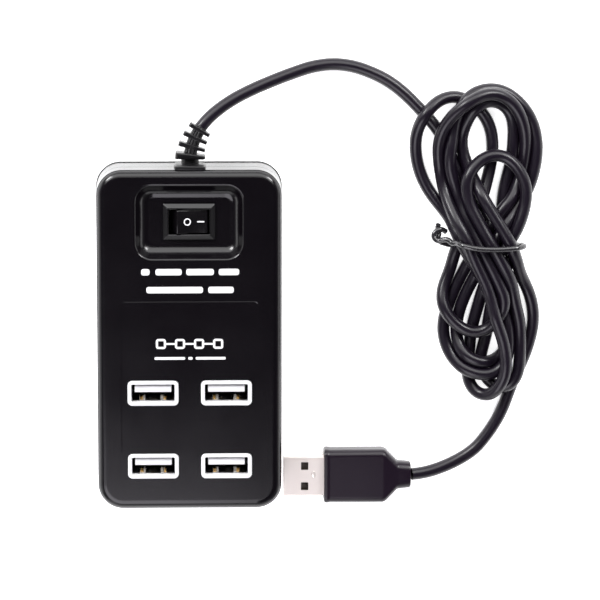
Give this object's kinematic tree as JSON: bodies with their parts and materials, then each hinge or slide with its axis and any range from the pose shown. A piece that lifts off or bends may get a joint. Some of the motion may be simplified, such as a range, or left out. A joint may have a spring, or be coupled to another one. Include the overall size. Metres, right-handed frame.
{
  "type": "usb hub",
  "caption": "Flat rounded-box desktop hub with vertical sockets, a recessed rocker switch and a captive cord, bundled with a wire tie, that ends in a flat plug.",
  "frame": {"origin": "middle of the case's footprint, on the plane of the feet", "axes": "+Z out of the socket face, +Y along the case's length towards the cord's exit, +X towards the plug's side"},
  "size_m": [0.1335, 0.1336, 0.0223],
  "materials": {
    "case_black": "semi-gloss black, finely textured on the face",
    "frame_white": "white, satin",
    "port_metal": "tin-plated steel",
    "tongue_white": "white, satin",
    "switch_black": "black, satin, with white marks",
    "contact_brass": "bright brass",
    "spring_steel": "spring wire",
    "screw_steel": "zinc-plated",
    "foot_rubber": "matt",
    "board_green": "solder mask over glass fibre",
    "chip_black": "matt epoxy",
    "crystal_can": "drawn can",
    "capacitor_sleeve": "shrunk sleeve",
    "wire_red": "PVC insulation",
    "wire_white": "PVC insulation",
    "wire_green": "PVC insulation",
    "wire_black": "PVC insulation",
    "relief_black": "moulded soft PVC, satin",
    "cord_black": "extruded soft PVC, glossy",
    "tie_black": "plastic-covered wire, satin",
    "plug_black": "moulded soft PVC, satin",
    "plug_metal": "nickel-plated steel",
    "plug_insulator_white": "white, satin",
    "plug_contact_gold": "gold flash"
  },
  "bodies": {
    "hub": {"front_cover": "case_black", "back_cover": "case_black", "port_frame_1": "frame_white", "port_frame_2": "frame_white", "port_frame_3": "frame_white", "port_frame_4": "frame_white", "port_shell_1": "port_metal", "port_shell_2": "port_metal", "port_shell_3": "port_metal", "port_shell_4": "port_metal", "port_tongue_1": "tongue_white", "port_tongue_2": "tongue_white", "port_tongue_3": "tongue_white", "port_tongue_4": "tongue_white", "switch_housing": "switch_black", "switch_terminal_1": "contact_brass", "switch_terminal_2": "contact_brass", "cover_screw_1": "screw_steel", "cover_screw_2": "screw_steel", "cover_screw_3": "screw_steel", "cover_screw_4": "screw_steel", "foot_1": "foot_rubber", "foot_2": "foot_rubber", "foot_3": "foot_rubber", "foot_4": "foot_rubber", "circuit_board": "board_green", "hub_chip": "chip_black", "clock_crystal": "crystal_can", "capacitor_1": "capacitor_sleeve", "capacitor_2": "capacitor_sleeve", "conductor_red": "wire_red", "switch_wire_1": "wire_red", "switch_wire_2": "wire_red", "conductor_white": "wire_white", "conductor_green": "wire_green", "conductor_black": "wire_black", "strain_relief": "relief_black", "cord_lead": "cord_black", "cord_bundle": "cord_black", "cord_tail": "cord_black", "cord_tie": "tie_black", "plug_grip": "plug_black", "plug_shell": "plug_metal", "plug_insulator": "plug_insulator_white", "plug_contact_1": "plug_contact_gold", "plug_contact_2": "plug_contact_gold", "plug_contact_3": "plug_contact_gold", "plug_contact_4": "plug_contact_gold"},
    "rocker": {"rocker": "switch_black", "rocker_plunger": "contact_brass", "rocker_spring": "spring_steel"},
    "seesaw": {"seesaw_contact": "contact_brass"}
  },
  "joints": [
    {"name": "rocker_tilt", "type": "hinge", "parent": "hub", "child": "rocker", "pos_m": [0, 0.0351, 0.0152], "axis": [0, 1, 0], "range_deg": [-20, 0]},
    {"name": "seesaw_tilt", "type": "hinge", "parent": "hub", "child": "seesaw", "pos_m": [0, 0.0351, 0.0102], "axis": [0, 1, 0], "range_deg": [0, 16]}
  ],
  "couplings": [
    {"joint": "seesaw_tilt", "follows": "rocker_tilt", "ratio": -0.8}
  ]
}
